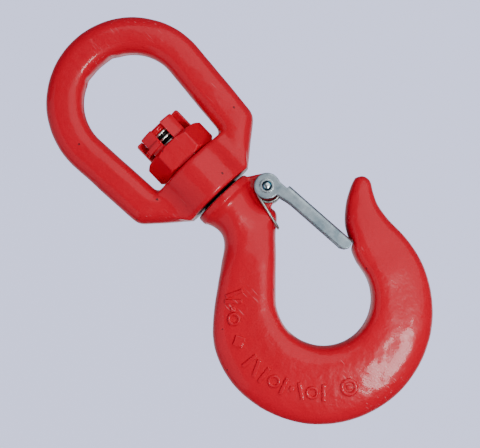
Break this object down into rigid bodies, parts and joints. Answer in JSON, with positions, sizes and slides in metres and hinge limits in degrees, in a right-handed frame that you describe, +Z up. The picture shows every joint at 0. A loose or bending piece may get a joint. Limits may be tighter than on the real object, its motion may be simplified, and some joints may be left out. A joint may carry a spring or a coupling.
{
  "type": "swivel hook",
  "caption": "Forged lifting hook that turns on a shank under an oblong eye, held by a pinned castle nut, with a sprung safety latch across its throat.",
  "frame": {"origin": "top of the opening of the eye, where it rests on what carries the hook", "axes": "+Z up along the swivel axis, +X towards the hook's point, +Y square to the flat faces of the hook"},
  "size_m": [0.105, 0.035, 0.2096],
  "materials": {
    "red_paint": "glossy red enamel over forged steel",
    "zinc_sheet": "zinc-plated pressed sheet, pale blue-grey",
    "zinc_rivet": "bright zinc plate",
    "spring_wire": "dark drawn spring wire"
  },
  "bodies": {
    "bail": {"swivel_bail": "red_paint"},
    "hook": {"hook_body": "red_paint", "castle_nut": "red_paint", "split_pin": "red_paint", "latch_rivet": "zinc_rivet", "rivet_washers": "zinc_rivet", "latch_spring": "spring_wire"},
    "latch": {"safety_latch": "zinc_sheet"}
  },
  "joints": [
    {"name": "swivel", "type": "hinge", "parent": "bail", "child": "hook", "pos_m": [0, 0, -0.068], "axis": [0, 0, 1], "continuous": true},
    {"name": "latch_pivot", "type": "hinge", "parent": "hook", "child": "latch", "pos_m": [0.0172, 0, -0.0893], "axis": [0, 1, 0], "range_deg": [0, 42], "stiffness_Nm_per_rad": 0.12, "springref_deg": -51.57, "deforming": ["latch_spring"]}
  ]
}
